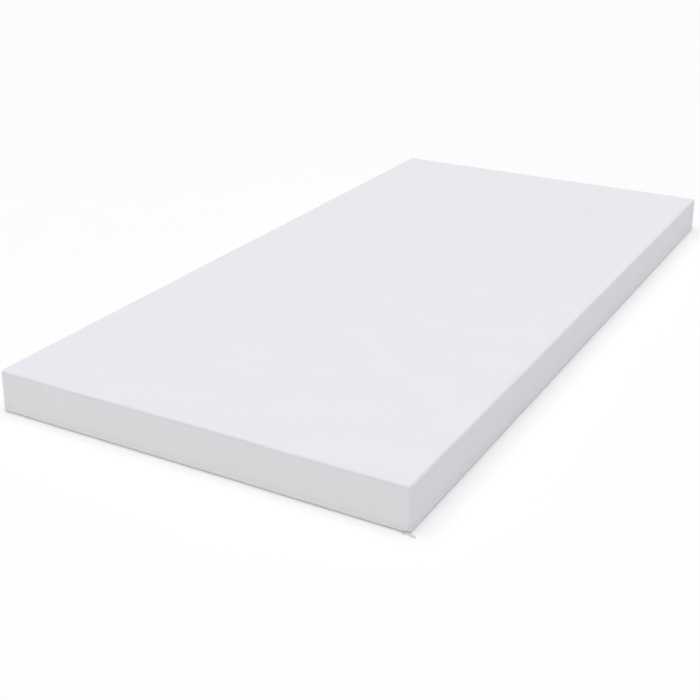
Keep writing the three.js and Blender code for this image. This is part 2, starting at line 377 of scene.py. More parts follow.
def shell(name, nx, ny, rings, z_top, z_bot, f_top=None, f_bot=None, f_ring=None):
    """Closed body: a grid on top, rings down the edge and a grid below. rings are (distance out from the skeleton, z) in mm."""
    xs, ys = np.linspace(-SX, SX, nx + 1), np.linspace(-SY, SY, ny + 1)
    shrink = max(0.0, R_MIN - rings[0][0] * MM)
    xs, ys = xs * (1 - shrink / SX), ys * (1 - shrink / SY)
    X, Y = np.meshgrid(xs, ys, indexing="ij")
    C, N, S, idx = loop_path(nx, ny)
    m = len(S)
    top = np.stack([X, Y, z_top * MM + (f_top(X, Y) if f_top else 0 * X)], -1).reshape(-1, 3)
    back = max(0.0, R_MIN - rings[-1][0] * MM)
    XB, YB = X * (SX - back) / (SX - shrink), Y * (SY - back) / (SY - shrink)
    bot = np.stack([XB, YB, z_bot * MM + (f_bot(X, Y) if f_bot else 0 * X)], -1).reshape(-1, 3)
    ring_v = []
    for k, (r, z) in enumerate(rings):
        dr, dz = f_ring(k, r, z, S, C, N) if f_ring else (0.0, 0.0)
        p = place(C, N, np.full(m, R - r * MM) - dr)
        ring_v.append(np.column_stack([p, np.full(m, z * MM) + dz]))
    verts = np.concatenate([top] + ring_v + [bot])
    n_top = len(top)
    off = [n_top + m * k for k in range(len(rings))]
    b0 = n_top + m * len(rings)
    faces = list(grid_faces(nx + 1, ny + 1))
    a, b = np.arange(m), (np.arange(m) + 1) % m
    strips = []
    tri = []
    for (pa, pb, qa, qb) in [(idx[a], idx[b], off[0] + a, off[0] + b)]:
        same = pa == pb
        strips.append(np.stack([pa, qa, qb, pb], -1)[~same])
        tri.append(np.stack([pa, qa, qb], -1)[same])
    for k in range(len(rings) - 1):
        strips.append(np.stack([off[k] + a, off[k + 1] + a, off[k + 1] + b, off[k] + b], -1))
    pa, pb = b0 + idx[a], b0 + idx[b]
    same = pa == pb
    strips.append(np.stack([off[-1] + a, pa, pb, off[-1] + b], -1)[~same])
    tri.append(np.stack([off[-1] + a, pa, off[-1] + b], -1)[same])
    lower = grid_faces(nx + 1, ny + 1)[:, ::-1] + b0
    quads = np.concatenate([np.array(faces)] + strips + [lower])
    tris = np.concatenate(tri)
    return make_mesh(name, verts, [tuple(q) for q in quads] + [tuple(t) for t in tris])


def sweep(name, C, N, S, section, closed, offset=None):
    """Closed section polygon [(d, z)] in mm, d inwards from the outer face, carried along the outline."""
    sec = np.asarray(section, float)
    m, k = len(S), len(sec)
    d = np.broadcast_to(sec[:, 0] * MM, (m, k)).copy()
    z = np.broadcast_to(sec[:, 1] * MM, (m, k)).copy()
    if offset is not None:
        dd, dz = offset(S, sec)
        d, z = d + dd, z + dz
    p = place(C[:, None, :], N[:, None, :], d)
    verts = np.concatenate([p, z[..., None]], -1).reshape(-1, 3)
    quads = grid_faces(m, k, wrap_u=closed, wrap_v=True)
    caps = [] if closed else [list(range(k))[::-1], list(range((m - 1) * k, m * k))]
    if not closed:
        # turn the caps to match the quads
        q = quads[0]
        caps = [list(range(k)), list(range((m - 1) * k, m * k))[::-1]]
    return make_mesh(name, verts, outward(verts, quads, caps))


# --------------------------------------------------------------------------
# Materials
# --------------------------------------------------------------------------
class Nodes:
    def __init__(self, name, **sockets):
        self.mat = bpy.data.materials.new(name)
        self.mat.use_nodes = True
        self.nt = self.mat.node_tree
        self.nt.nodes.clear()
        self.out = self.nt.nodes.new("ShaderNodeOutputMaterial")
        self.bsdf = self.nt.nodes.new("ShaderNodeBsdfPrincipled")
        self.nt.links.new(self.bsdf.outputs[0], self.out.inputs["Surface"])
        for k, v in sockets.items():
            self.bsdf.inputs[k.replace("_", " ")].default_value = v

    def n(self, kind, **props):
        node = self.nt.nodes.new("ShaderNode" + kind)
        for k, v in props.items():
            setattr(node, k, v)
        return node

    def link(self, a, b):
        self.nt.links.new(a, b)

    def coords(self, scale=(1, 1, 1), rot=(0, 0, 0)):
        tc = self.n("TexCoord")
        mp = self.n("Mapping")
        mp.inputs["Scale"].default_value = scale
        mp.inputs["Rotation"].default_value = rot
        self.link(tc.outputs["Object"], mp.inputs["Vector"])
        return mp.outputs["Vector"]

    def noise(self, vec, scale, detail=2.0, rough=0.5):
        t = self.n("TexNoise")
        t.inputs["Scale"].default_value = scale
        t.inputs["Detail"].default_value = detail
        t.inputs["Roughness"].default_value = rough
        self.link(vec, t.inputs["Vector"])
        return t.outputs["Fac"]

    def wave(self, vec, scale, axis="X", distortion=0.0, dscale=1.0, profile="SIN", detail=1.0):
        t = self.n("TexWave", wave_type="BANDS", bands_direction=axis, wave_profile=profile)
        t.inputs["Scale"].default_value = scale
        t.inputs["Distortion"].default_value = distortion
        t.inputs["Detail"].default_value = detail
        t.inputs["Detail Scale"].default_value = dscale
        self.link(vec, t.inputs["Vector"])
        return t.outputs["Fac"]

    def voronoi(self, vec, scale, feature="F1", out="Distance", rand=1.0):
        t = self.n("TexVoronoi", feature=feature)
        t.inputs["Scale"].default_value = scale
        t.inputs["Randomness"].default_value = rand
        self.link(vec, t.inputs["Vector"])
        return t.outputs[out]

    def math(self, op, a, b=None, clamp=False):
        m = self.n("Math", operation=op, use_clamp=clamp)
        for i, x in enumerate((a, b)):
            if x is None:
                continue
            if isinstance(x, (int, float)):
                m.inputs[i].default_value = x
            else:
                self.link(x, m.inputs[i])
        return m.outputs[0]

    def ramp(self, fac, stops):
        r = self.n("ValToRGB")
        el = r.color_ramp.elements
        while len(el) > len(stops):
            el.remove(el[-1])
        while len(el) < len(stops):
            el.new(1.0)
        for e, (pos, col) in zip(el, stops):
            e.position = pos
            e.color = (*col, 1.0)
        self.link(fac, r.inputs["Fac"])
        return r.outputs["Color"]

    def bump(self, height, distance, strength=1.0, normal=None):
        b = self.n("Bump")
        b.inputs["Strength"].default_value = strength
        b.inputs["Distance"].default_value = distance
        self.link(height, b.inputs["Height"])
        if normal is not None:
            self.link(normal, b.inputs["Normal"])
        return b.outputs["Normal"]

    def to(self, socket, name):
        self.link(socket, self.bsdf.inputs[name])


def mul(c, f):
    return tuple(min(1.0, x * f) for x in c)


KNIT = (0.826, 0.834, 0.876)


def knit(name, base, wale, course, along=None, streak=0.012, weave=0.00016, creased=False):
    """Fine weft knit: columns of loops (wales) crossed by rows (courses), with lint and a slow change of shade.
    wale and course are pitches in metres. along turns the pattern: None lies in the XY plane, "side" runs round the border."""
    m = Nodes(name, Roughness=0.94, Sheen_Weight=0.08, Sheen_Roughness=0.55)
    m.bsdf.inputs["Specular IOR Level"].default_value = 0.22
    m.bsdf.inputs["Diffuse Roughness"].default_value = 0.3
    tc = m.n("TexCoord")
    sep = m.n("SeparateXYZ")
    m.link(tc.outputs["Object"], sep.inputs[0])
    comb = m.n("CombineXYZ")
    if along == "side":
        m.link(m.math("ADD", sep.outputs["X"], sep.outputs["Y"]), comb.inputs["X"])
        m.link(sep.outputs["Z"], comb.inputs["Y"])
    else:
        m.link(sep.outputs["X"], comb.inputs["X"])
        m.link(sep.outputs["Y"], comb.inputs["Y"])
    v = comb.outputs[0]
    k = 1 / (2 * math.pi)
    # Wave texture: one band per pi*2/20 at scale 1, so scale = 0.314 / pitch.
    wales = m.wave(v, 0.314159 / wale, "X", distortion=0.7, dscale=2.0)
    rows = m.wave(v, 0.314159 / course, "Y", distortion=0.9, dscale=2.0)
    loops = m.math("MULTIPLY", m.math("POWER", wales, 0.8), m.math("ADD", m.math("MULTIPLY", rows, 0.55), 0.45))
    lint = m.noise(tc.outputs["Object"], 900.0, 3.0, 0.6)
    slow_map = m.n("Mapping")
    slow_map.inputs["Scale"].default_value = (55.0, 4.0, 1.0) if along == "side" else (6.0, 9.0, 1.0)
    m.link(v, slow_map.inputs["Vector"])
    slow = m.noise(slow_map.outputs["Vector"], 1.0, 3.0, 0.55)
    # painted shade: the colour is lighter where the loops and lint stand high in the bump and darker between them; the
    # slow noise is a random change of tone
    shade = m.math("ADD", m.math("MULTIPLY", loops, 0.30), m.math("ADD", m.math("MULTIPLY", lint, 0.25), m.math("MULTIPLY", slow, 0.45)))
    lo, hi = mul(base, 1 - 2.2 * streak), mul(base, 1 + 1.6 * streak)
    m.to(m.ramp(shade, [(0.25, lo), (0.75, hi)]), "Base Color")
    height = m.math("ADD", loops, m.math("MULTIPLY", lint, 0.5))
    fine = m.bump(height, weave, 0.55)
    soft_map = m.n("Mapping")
    soft_map.inputs["Scale"].default_value = (70.0, 9.0, 1.0) if along == "side" else (22.0, 60.0, 1.0)
    m.link(v, soft_map.inputs["Vector"])
    soft = m.noise(soft_map.outputs["Vector"], 1.0, 2.0, 0.5)
    normal = m.bump(soft, 0.0009, 0.35, fine)
    if creased:
        patch_map = m.n("Mapping")
        patch_map.inputs["Scale"].default_value = (4.5, 5.5, 1.0)
        patch_map.inputs["Location"].default_value = (3.1, 1.7, 0.0)
        m.link(v, patch_map.inputs["Vector"])
        patch = m.noise(patch_map.outputs["Vector"], 1.0, 1.0, 0.4)
        patch = m.math("MULTIPLY", m.math("SUBTRACT", patch, 0.56), 7.0, clamp=True)
        line_map = m.n("Mapping")
        line_map.inputs["Scale"].default_value = (14.0, 60.0, 1.0)
        line_map.inputs["Rotation"].default_value = (0.0, 0.0, 0.12)
        m.link(v, line_map.inputs["Vector"])
        line = m.noise(line_map.outputs["Vector"], 1.0, 2.0, 0.5)
        normal = m.bump(m.math("MULTIPLY", patch, line), 0.004, 1.0, normal)
    m.to(normal, "Normal")
    rough = m.math("ADD", 0.88, m.math("MULTIPLY", lint, 0.1))
    m.to(rough, "Roughness")
    return m.mat


knit_top = knit("knit_top", KNIT, 1.3 * MM, 1.0 * MM, creased=True)
knit_border = knit("knit_border", KNIT, 1.3 * MM, 1.0 * MM, along="side", streak=0.016)
knit_under = knit("knit_underside", mul(KNIT, 0.95), 2.2 * MM, 1.4 * MM, streak=0.01, weave=0.0003)


def tape_material():
    m = Nodes("zip_tape_woven", Roughness=0.8, Sheen_Weight=0.1)
    v = m.coords()
    sep = m.n("SeparateXYZ"); m.link(v, sep.inputs[0])
    s = m.math("ADD", sep.outputs["X"], sep.outputs["Y"])
    comb = m.n("CombineXYZ"); m.link(s, comb.inputs["X"]); m.link(sep.outputs["Z"], comb.inputs["Y"])
    a = m.wave(comb.outputs[0], 0.314159 / (0.9 * MM), "DIAGONAL", distortion=0.3)
    b = m.wave(comb.outputs[0], 0.314159 / (0.6 * MM), "Y", distortion=0.2)
    lint = m.noise(v, 1500.0, 2.0)
    h = m.math("ADD", m.math("MULTIPLY", a, b), m.math("MULTIPLY", lint, 0.4))
    # painted shade: the tape is darker in the low grooves of the weave and lint and lighter on the raised threads
    m.to(m.ramp(h, [(0.0, (0.66, 0.67, 0.70)), (1.0, (0.80, 0.81, 0.83))]), "Base Color")
    m.to(m.bump(h, 0.00012, 0.7), "Normal")
    return m.mat


def nylon_material():
    m = Nodes("zip_nylon", Roughness=0.38, Subsurface_Weight=0.15, Subsurface_Scale=0.001)
    v = m.coords()
    f = m.noise(v, 420.0, 2.0)
    m.to(m.ramp(f, [(0.2, (0.74, 0.75, 0.77)), (0.8, (0.84, 0.85, 0.86))]), "Base Color")
    m.to(m.math("ADD", 0.32, m.math("MULTIPLY", m.noise(v, 1800.0), 0.16)), "Roughness")
    m.to(m.bump(m.noise(v, 2500.0), 0.00003, 0.4), "Normal")
    return m.mat


def thread_material():
    m = Nodes("seam_thread", Roughness=0.55, Sheen_Weight=0.2)
    v = m.coords()
    ply = m.wave(v, 0.314159 / (0.35 * MM), "DIAGONAL", distortion=0.4)
    fz = m.noise(v, 2600.0, 2.0)
    # painted shade: the colour is darker in the grooves between the plies and lighter on the raised plies; the fuzz
    # noise is a random change of tone
    m.to(m.ramp(m.math("ADD", m.math("MULTIPLY", ply, 0.6), m.math("MULTIPLY", fz, 0.4)),
                [(0.1, (0.68, 0.69, 0.71)), (0.9, (0.86, 0.865, 0.88))]), "Base Color")
    m.to(m.bump(ply, 0.00006, 0.6), "Normal")
    return m.mat


def metal_material():
    m = Nodes("zip_nickel", Metallic=1.0, Roughness=0.3)
    v = m.coords()
    brushed = m.n("Mapping"); brushed.inputs["Scale"].default_value = (1.0, 1.0, 9.0)
    m.link(v, brushed.inputs["Vector"])
    streak = m.noise(brushed.outputs["Vector"], 700.0, 3.0, 0.6)
    wear = m.noise(v, 260.0, 3.0, 0.6)
    m.to(m.ramp(wear, [(0.3, (0.70, 0.70, 0.705)), (0.7, (0.80, 0.802, 0.808))]), "Base Color")
    m.to(m.math("ADD", 0.20, m.math("MULTIPLY", streak, 0.28)), "Roughness")
    m.to(m.bump(streak, 0.00003, 0.5), "Normal")
    return m.mat


def foam_material(name, lo, hi, cell, pit_shade):
    """Open-cell foam: two sizes of cell, painted shade in the hollows where a cell is cut open, slow change of tone."""
    m = Nodes(name, Roughness=1.0, Subsurface_Weight=0.12, Subsurface_Scale=0.004)
    m.bsdf.inputs["Specular IOR Level"].default_value = 0.15
    v = m.coords()
    cells = m.voronoi(v, 1 / cell)
    small = m.voronoi(v, 2.3 / cell)
    grain = m.noise(v, 1.2 / cell, 3.0, 0.6)
    slow = m.noise(v, 5.0, 3.0)
    h = m.math("ADD", m.math("MULTIPLY", cells, 0.6), m.math("ADD", m.math("MULTIPLY", small, 0.3), m.math("MULTIPLY", grain, 0.4)))
    # painted shade: the colour is darker (lo) where the cells lie deep in the bump and lighter (hi) where they stand
    # high, mixed with a slow random change of tone
    pit_shade_and_tone = m.math("ADD", m.math("MULTIPLY", h, pit_shade), m.math("MULTIPLY", slow, 1 - pit_shade))
    m.to(m.ramp(pit_shade_and_tone, [(0.2, hi), (0.85, lo)]), "Base Color")
    m.to(m.bump(m.math("MULTIPLY", h, -1.0), cell * 0.35, 0.6), "Normal")
    return m.mat


def label_material():
    m = Nodes("label_satin", Roughness=0.5, Sheen_Weight=0.3)
    v = m.coords()
    w = m.wave(v, 0.314159 / (0.5 * MM), "X", distortion=0.2)
    w2 = m.wave(v, 0.314159 / (0.35 * MM), "Z", distortion=0.2)
    h = m.math("MULTIPLY", w, w2)
    # painted shade: the label is darker in the low grooves of the weave and lighter on the raised threads
    m.to(m.ramp(h, [(0.0, (0.76, 0.76, 0.76)), (1.0, (0.86, 0.86, 0.855))]), "Base Color")
    m.to(m.bump(h, 0.00004, 0.5), "Normal")
    return m.mat


def floor_material():
    m = Nodes("floor_pale", Roughness=0.7)
    m.bsdf.inputs["Specular IOR Level"].default_value = 0.1
    v = m.coords()
    f = m.noise(v, 3.0, 4.0, 0.6)
    m.to(m.ramp(f, [(0.2, (0.78, 0.78, 0.78)), (0.8, (0.79, 0.79, 0.79))]), "Base Color")
    # a light table: it glows a little, which keeps the shade beside the mattress pale
    m.bsdf.inputs["Emission Color"].default_value = (1.0, 1.0, 1.0, 1.0)
    m.bsdf.inputs["Emission Strength"].default_value = 0.18
    return m.mat


tape_mat, nylon, thread_mat, nickel = tape_material(), nylon_material(), thread_material(), metal_material()
memory_mat = foam_material("memory_foam", (0.70, 0.64, 0.50), (0.86, 0.81, 0.68), 0.9 * MM, 0.6)
support_mat = foam_material("support_foam", (0.62, 0.66, 0.72), (0.80, 0.83, 0.87), 1.6 * MM, 0.7)
label_mat = label_material()

floor = bpy.data.objects.new("floor", bpy.data.meshes.new("floor"))
bm = bmesh.new()
bmesh.ops.create_grid(bm, x_segments=8, y_segments=8, size=30.0)
bm.to_mesh(floor.data); bm.free()
floor.location = (0, 0, -0.0004)
bpy.context.scene.collection.objects.link(floor)
floor.data.materials.append(floor_material())
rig.stage(floor)


def finish_piece(ob, material, body, slot, *nodes):
    ob.data.materials.clear()
    ob.data.materials.append(material)
    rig.ride(ob, body)
    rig.slot(ob, slot)
    if nodes:
        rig.replaces(ob, *nodes)
    return ob


# --------------------------------------------------------------------------
# Upper half of the cover
# --------------------------------------------------------------------------
slow_top = waves(26, 0.18, 0.75, 5)
ripple = waves(40, 0.035, 0.10, 9, stretch=(2.6, 1.0))
mask_n = waves(14, 0.25, 0.7, 12)

creases = []
for _ in range(34):
    cx, cy = rng.uniform(-0.44, 0.44), rng.uniform(-0.94, 0.94)
    ang = rng.normal(0, 0.28)
    creases.append((cx, cy, ang, rng.uniform(0.04, 0.13), rng.uniform(0.007, 0.013), rng.choice([-1, 1]) * rng.uniform(0.10, 0.30) * MM,
                    rng.uniform(-0.5, 0.5)))


def top_relief(x, y):
    """Height of the top panel over the flat, in metres."""
    z = 0.32 * MM * slow_top(x, y)
    mask = 1 / (1 + np.exp(-2.0 * mask_n(x, y)))
    z = z + 0.045 * MM * ripple(x, y) * (0.35 + 0.9 * mask)
    for cx, cy, a, half, w, amp, bow in creases:
        u = (x - cx) * math.cos(a) + (y - cy) * math.sin(a)
        v = -(x - cx) * math.sin(a) + (y - cy) * math.cos(a) - bow * u * u / half
        z = z + amp * np.exp(-(v / w) ** 2) * np.exp(-(u / half) ** 4)
    # soft crown: the middle is held by the foam, the rim is pulled down a little by the seam
    edge = np.minimum(SX - np.abs(x), SY - np.abs(y)) + 1 * MM
    return z * np.clip(edge / 0.03, 0.25, 1.0) - 0.45 * MM * np.exp(-edge / 0.03)


roll = [(0.5 + 6 * math.sin(t), 94 + 6 * math.cos(t)) for t in np.radians([10, 20, 30, 40, 50, 60, 70, 79, 87])]
top_rings = (
    [(0.62, 100.0)] + roll
    + [(6.44, 94.05), (6.25, 93.93), (5.8, 93.88)]                          # tight valley of the seam
    + [(2.45, 93.85), (2.4, 91.5), (2.35, 86.6), (1.75, 86.0), (1.1, 86.6), (1.05, 91.0), (1.1, 94.4)]   # turned allowance
    + [(3.45, 94.6), (3.3, 95.4), (2.6, 96.6), (1.6, 97.3), (0.62, 97.5)]     # inner face
)
N_OUT = 1 + len(roll) + 3


def top_ring(k, r, z, S, C, N):
    t = np.clip((z - 94.0) / 6.0, 0, 1)
    # the relief dies away down the roll; the edge wanders in and out and up and down
    dz = (top_relief(C[:, 0], C[:, 1]) + 0.25 * edge_lift(S)) * t + edge_lift(S) * (0.35 + 0.4 * t)
    dr = edge_wave(S) * (1 - 0.6 * t * t)
    if k >= N_OUT:
        inside = z > 94.5
        dz = edge_lift(S) * 0.35 + (top_relief(C[:, 0], C[:, 1]) * 0.8 if inside else 0)
        dr = edge_wave(S) * 0.5
    return dr, dz


top_panel = shell(
    "top_panel", 130, 262, top_rings, 100.0, 97.5,
    f_top=lambda x, y: top_relief(x, y) + 0 * x,
    f_bot=lambda x, y: top_relief(x, y) * 0.8,
    f_ring=top_ring)
finish_piece(top_panel, knit_top, "upper_cover", "cover_knit", "cover_top_panel",
             "cover_top_roll_front", "cover_top_roll_right", "cover_top_roll_back", "cover_top_roll_left")
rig.sheet(top_panel, flat=(1.026, 2.026), held="stretched", rests_on=["memory_foam"])

# Border strips. Section, d inwards and z up, in mm.
rows = list(np.linspace(89.0, 18.0, 22))
border_section = (
    [(1.5, 93.75), (0.6, 93.7), (0.2, 93.55), (0.04, 93.1), (0.0, 92.2)]
    + [(0.0, z) for z in rows]
    + [(0.0, 15.2), (0.04, 13.9), (0.13, 13.2), (0.20, 12.9), (0.13, 12.6), (0.03, 11.8), (0.0, 10.0), (0.0, 7.8), (0.0, 5.6),
       (0.02, 4.3), (0.12, 3.6), (0.4, 3.32), (0.8, 3.32), (1.1, 3.6), (1.18, 4.3), (1.2, 5.1), (1.5, 5.45), (2.6, 5.42), (3.9, 5.5),
       (4.3, 6.0), (4.4, 8.0), (4.4, 12.5), (4.4, 16.4), (4.05, 17.3), (3.2, 17.6), (2.65, 18.4), (2.5, 20.5)]
    + [(2.5, z) for z in (34, 48, 62, 76)]
    + [(2.5, 84.6), (2.7, 85.8), (3.2, 86.0), (3.7, 86.2), (3.9, 87.0), (3.9, 90.5), (3.85, 93.5), (3.5, 93.78)]
)
side_ripple = waves(60, 0.018, 0.085, 21, stretch=(1.0, 5.0))
side_slow = waves(16, 0.25, 0.9, 22, stretch=(1.0, 0.6))
ARC = np.array([0.05, 0.35, 0.75, 1.3, 2.1, 3.1, 4.1, 6.0, 7.8, 10.2, 13.0]) * MM


def border_offset(ends):
    lo, hi = ends

    def f(S, sec):
        z = sec[:, 1][None, :]
        d0 = sec[:, 0][None, :]
        s = S[:, None]
        u = np.clip((z - 8) / 83.0, 0, 1)
        belly = np.sin(math.pi * u) ** 0.8
        e = edge_wave(S)[:, None] * (0.55 + 0.45 * u)
        out = e + belly * (0.25 * MM + 0.30 * MM * side_slow(s, z * MM)) + (0.05 + 0.13 * belly) * MM * side_ripple(s, z * MM)
        # at the seams on the corners both strips turn in
        t = np.minimum(s - lo, hi - s)
        # fades the belly out round the corners, and dips at the very end
        out = out * np.clip(0.35 + t / 0.02, 0, 1)
        outer = np.clip((2.6 - d0) / 2.0, 0, 1)
        dip = 0.40 * MM * np.exp(-((t / (0.5 * MM)) ** 1.5)) * outer
        dz = edge_lift(S)[:, None] * 0.35 * u + 0 * z
        return -out + dip, dz
    return f


for side in SIDES:
    straight = 290 if side in ("right", "left") else 146
    C, N, S = side_path(side, straight, ARC)
    ob = sweep("border_" + side, C, N, S, border_section, False, border_offset((S[0] - 0.05 * MM, S[-1] + 0.05 * MM)))
    finish_piece(ob, knit_border, "upper_cover", "cover_knit", "cover_border_" + side)
    length = (2.0 if side in ("right", "left") else 1.0) + 0.02
    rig.sheet(ob, flat=(0.112, length), held="stretched", rests_on=["support_foam", "memory_foam"])


# Stitches --------------------------------------------------------------------
def stitch_row(name, C, N, S, d_face, z, out_sign, length, gap, radius, vertical=None):
    """Row of lockstitches. out_sign -1 lies on a face that looks outwards, +1 on one that looks inwards."""
    prof_t = np.array([0.0, 0.22, 0.5, 0.78, 1.0])
    prof_h = np.array([-0.9, 0.55, 0.8, 0.55, -0.9]) * radius
    ang = np.radians([45, 135, 225, 315])
    ca, sa = np.cos(ang) * radius, np.sin(ang) * radius
    V, Q = [], []
    total = S[-1] - S[0]
    count = int(total / (length + gap))
    pitch = total / count
    pos = np.column_stack([C, N])

    def at(s):
        return np.stack([np.interp(s, S, pos[:, i]) for i in range(4)], -1)
    s0 = S[0] + (np.arange(count) + 0.5) * pitch
    base = 0
    for k in range(5):
        s = s0 + (prof_t[k] - 0.5) * length
        p = at(s)
        nn = p[:, 2:] / np.linalg.norm(p[:, 2:], axis=1, keepdims=True)
        centre_d = d_face * MM + out_sign * prof_h[k]
        taper = 1.0 if 0 < k < 4 else 0.6
        e = edge_wave(s) * 0.58 if out_sign < 0 else 0 * s
        for j in range(4):
            dd = centre_d + out_sign * ca[j] * taper - e
            q = place(p[:, :2], nn, dd)
            V.append(np.column_stack([q, np.full(count, z * MM) + sa[j] * taper]))
    V = np.stack(V, 1)                       # count, 20, 3
    quads = []
    for k in range(4):
        for j in range(4):
            j2 = (j + 1) % 4
            quads.append([k * 4 + j, k * 4 + j2, (k + 1) * 4 + j2, (k + 1) * 4 + j])
    quads += [[3, 2, 1, 0], [16, 17, 18, 19]]
    quads = np.array(quads)
    one = V[0]
    tris = np.concatenate([quads[:, [0, 1, 2]], quads[:, [0, 2, 3]]])
    if signed_volume(one - one.mean(0), tris) < 0:
        quads = quads[:, ::-1]
    return V.reshape(-1, 3), (quads[None] + (np.arange(count) * 20)[:, None, None]).reshape(-1, 4)


def merge(parts):
    V, Q, off = [], [], 0
    for v, q in parts:
        V.append(v); Q.append(q + off); off += len(v)
    return np.concatenate(V), np.concatenate(Q)


def full_loop(step=0.02):
    C, N, S, _ = loop_path(50, 100, 8)
    C, N, S = np.vstack([C, C[:1]]), np.vstack([N, N[:1]]), np.append(S, PERIM)
    return C, N, S


LC, LN, LS = full_loop()
hem = merge([
    stitch_row("o", LC, LN, LS, 0.17, 12.9, -1, 3.4 * MM, 0.8 * MM, 0.24 * MM),
    stitch_row("i", LC, LN, LS, 5.42, 12.9, 1, 3.4 * MM, 0.8 * MM, 0.24 * MM),
])
hem_thread = make_mesh("hem_topstitch", *hem)
finish_piece(hem_thread, thread_mat, "upper_cover", "thread", "hem_seam_thread")

top_thread = make_mesh("top_seam_stitches", *stitch_row("t", LC, LN, LS, 5.38, 88.4, 1, 4.2 * MM, 0.9 * MM, 0.26 * MM))
finish_piece(top_thread, thread_mat, "upper_cover", "thread", "top_seam_thread")

# Corner seams: a vertical row inside each corner.
for name, sx, sy in (("front_right", 1, -1), ("back_right", 1, 1), ("back_left", -1, 1), ("front_left", -1, -1)):
    c = np.array([sx * SX, sy * SY]); n = np.array([sx, sy]) / math.sqrt(2); t = np.array([-n[1], n[0]])
    V, Q = [], []
    zs = np.arange(19.5, 82.0, 3.6) * MM
    prof = [(0.0, -0.3), (0.25, 0.25), (0.5, 0.4), (0.75, 0.25), (1.0, -0.3)]
    rad = 0.26 * MM
    for z0 in zs:
        base = len(V)
        for tt, hh in prof:
            for a in np.radians([0, 72, 144, 216, 288]):
                p = c + n * (R - (2.72 + hh * 0.6) * MM - math.cos(a) * rad) + t * math.sin(a) * rad
                V.append([p[0], p[1], z0 + tt * 2.9 * MM])
        for k in range(4):
            for j in range(5):
                Q.append([base + k * 5 + j, base + k * 5 + (j + 1) % 5, base + (k + 1) * 5 + (j + 1) % 5, base + (k + 1) * 5 + j])
        Q.append([base + j for j in range(5)][::-1]); Q.append([base + 20 + j for j in range(5)])
    ob = make_mesh("corner_stitches_" + name, V, Q)
    bmn = bmesh.new(); bmn.from_mesh(ob.data); bmesh.ops.recalc_face_normals(bmn, faces=bmn.faces); bmn.to_mesh(ob.data); bmn.free()
    finish_piece(ob, thread_mat, "upper_cover", "thread", "corner_seam_thread_" + name)

# Zip tapes -------------------------------------------------------------------
C, N, S, _ = loop_path(60, 120, 6)
up_tape = sweep("tape_upper", C, N, S,
                [(4.8, 4.0), (5.35, 4.0), (5.4, 9), (5.35, 14), (5.4, 18), (5.35, 22), (4.8, 22), (4.75, 18), (4.8, 14), (4.75, 9)], True)
finish_piece(up_tape, tape_mat, "upper_cover", "zip_tape", "zip_tape_upper")
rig.sheet(up_tape, flat=(0.018, 5.93), held="stretched", rests_on=["border_right"])

# Coils -----------------------------------------------------------------------
def coil(name, z0, z1, hand):
    """Nylon coil from the start of the chain round to its closed end."""
    C, N, S = full_loop()
    # travel 0 is the parked corner's diagonal: the chain starts on the +X side and ends on the -Y end
    arc = 0.25 * math.pi * R
    start, end = arc + (SY - 0.990) + 0.3 * MM, PERIM - (arc + (SX - 0.4918) + 0.3 * MM)
    pitch, per = 1.4 * MM, 7
    turns = int((end - start) / pitch)
    k = np.arange(turns * per)
    s = start + k * pitch / per
    pos = np.column_stack([C, N])
    p = np.stack([np.interp(s, S, pos[:, i]) for i in range(4)], -1)
    nn = p[:, 2:] / np.linalg.norm(p[:, 2:], axis=1, keepdims=True)
    tt = np.stack([-nn[:, 1], nn[:, 0]], -1)
    ph = 2 * math.pi * k / per * hand
    rad = 0.24 * MM
    dc, zc = 3.82 * MM, (z0 + z1) / 2 * MM
    ad, az_ = (0.70 - 0.24) * MM, ((z1 - z0) / 2) * MM - rad
    sq = lambda v: np.sign(v) * np.abs(v) ** 0.7
    cd, cz = np.cos(ph), np.sin(ph)
    d, z = dc - ad * sq(cd), zc + az_ * sq(cz)
    ctr = np.column_stack([place(p[:, :2], nn, d), z])
    tan = np.gradient(ctr, axis=0)
    tan /= np.linalg.norm(tan, axis=1, keepdims=True)
    out = np.column_stack([nn * cd[:, None], cz])          # away from the coil's middle
    out -= (out * tan).sum(1, keepdims=True) * tan
    out /= np.linalg.norm(out, axis=1, keepdims=True)
    side = np.cross(tan, out)
    V = np.stack([ctr + rad * (math.cos(a) * out + math.sin(a) * side) for a in np.radians([0, 120, 240])], 1)
    quads = grid_faces(len(k), 3, wrap_v=True)
    verts = V.reshape(-1, 3)
    caps = [[0, 1, 2], [len(verts) - 1, len(verts) - 2, len(verts) - 3]]
    q = quads
    # orient by the first ring
    c0 = ctr[1]
    a, b, c2, dd = (verts[i] for i in q[3])
    nrm = np.cross(b - a, dd - a)
    if np.dot(nrm, (a + b + c2 + dd) / 4 - (ctr[1] + ctr[2]) / 2) < 0:
        q = q[:, ::-1]
        caps = [c[::-1] for c in caps]
    return make_mesh(name, verts, [tuple(x) for x in q] + [tuple(x) for x in caps])


low_coil = coil("coil_lower", 1.95, 3.25, 1)
finish_piece(low_coil, nylon, "lower_cover", "zip_coil", "zip_coil_lower")
up_coil = coil("coil_upper", 3.75, 5.05, -1)
finish_piece(up_coil, nylon, "upper_cover", "zip_coil", "zip_coil_upper")

# --------------------------------------------------------------------------
# Lower half of the cover
# --------------------------------------------------------------------------
under_wave = waves(20, 0.12, 0.5, 31)
under = shell(
    "underside_panel", 50, 100,
    [(0.7, 1.58), (2.4, 1.6), (2.95, 1.45), (3.25, 1.15), (3.3, 0.8), (3.2, 0.4), (2.9, 0.1), (2.3, 0.0)],
    1.58, 0.0,
    f_top=lambda x, y: -0.10 * MM * np.abs(under_wave(x, y)),
    f_ring=lambda k, r, z, S, C, N: (edge_wave(S) * 0.25, 0.0))
finish_piece(under, knit_under, "lower_cover", "underside_knit", "cover_underside_panel")
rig.sheet(under, flat=(1.010, 2.010), held="laid", rests_on=["floor"])

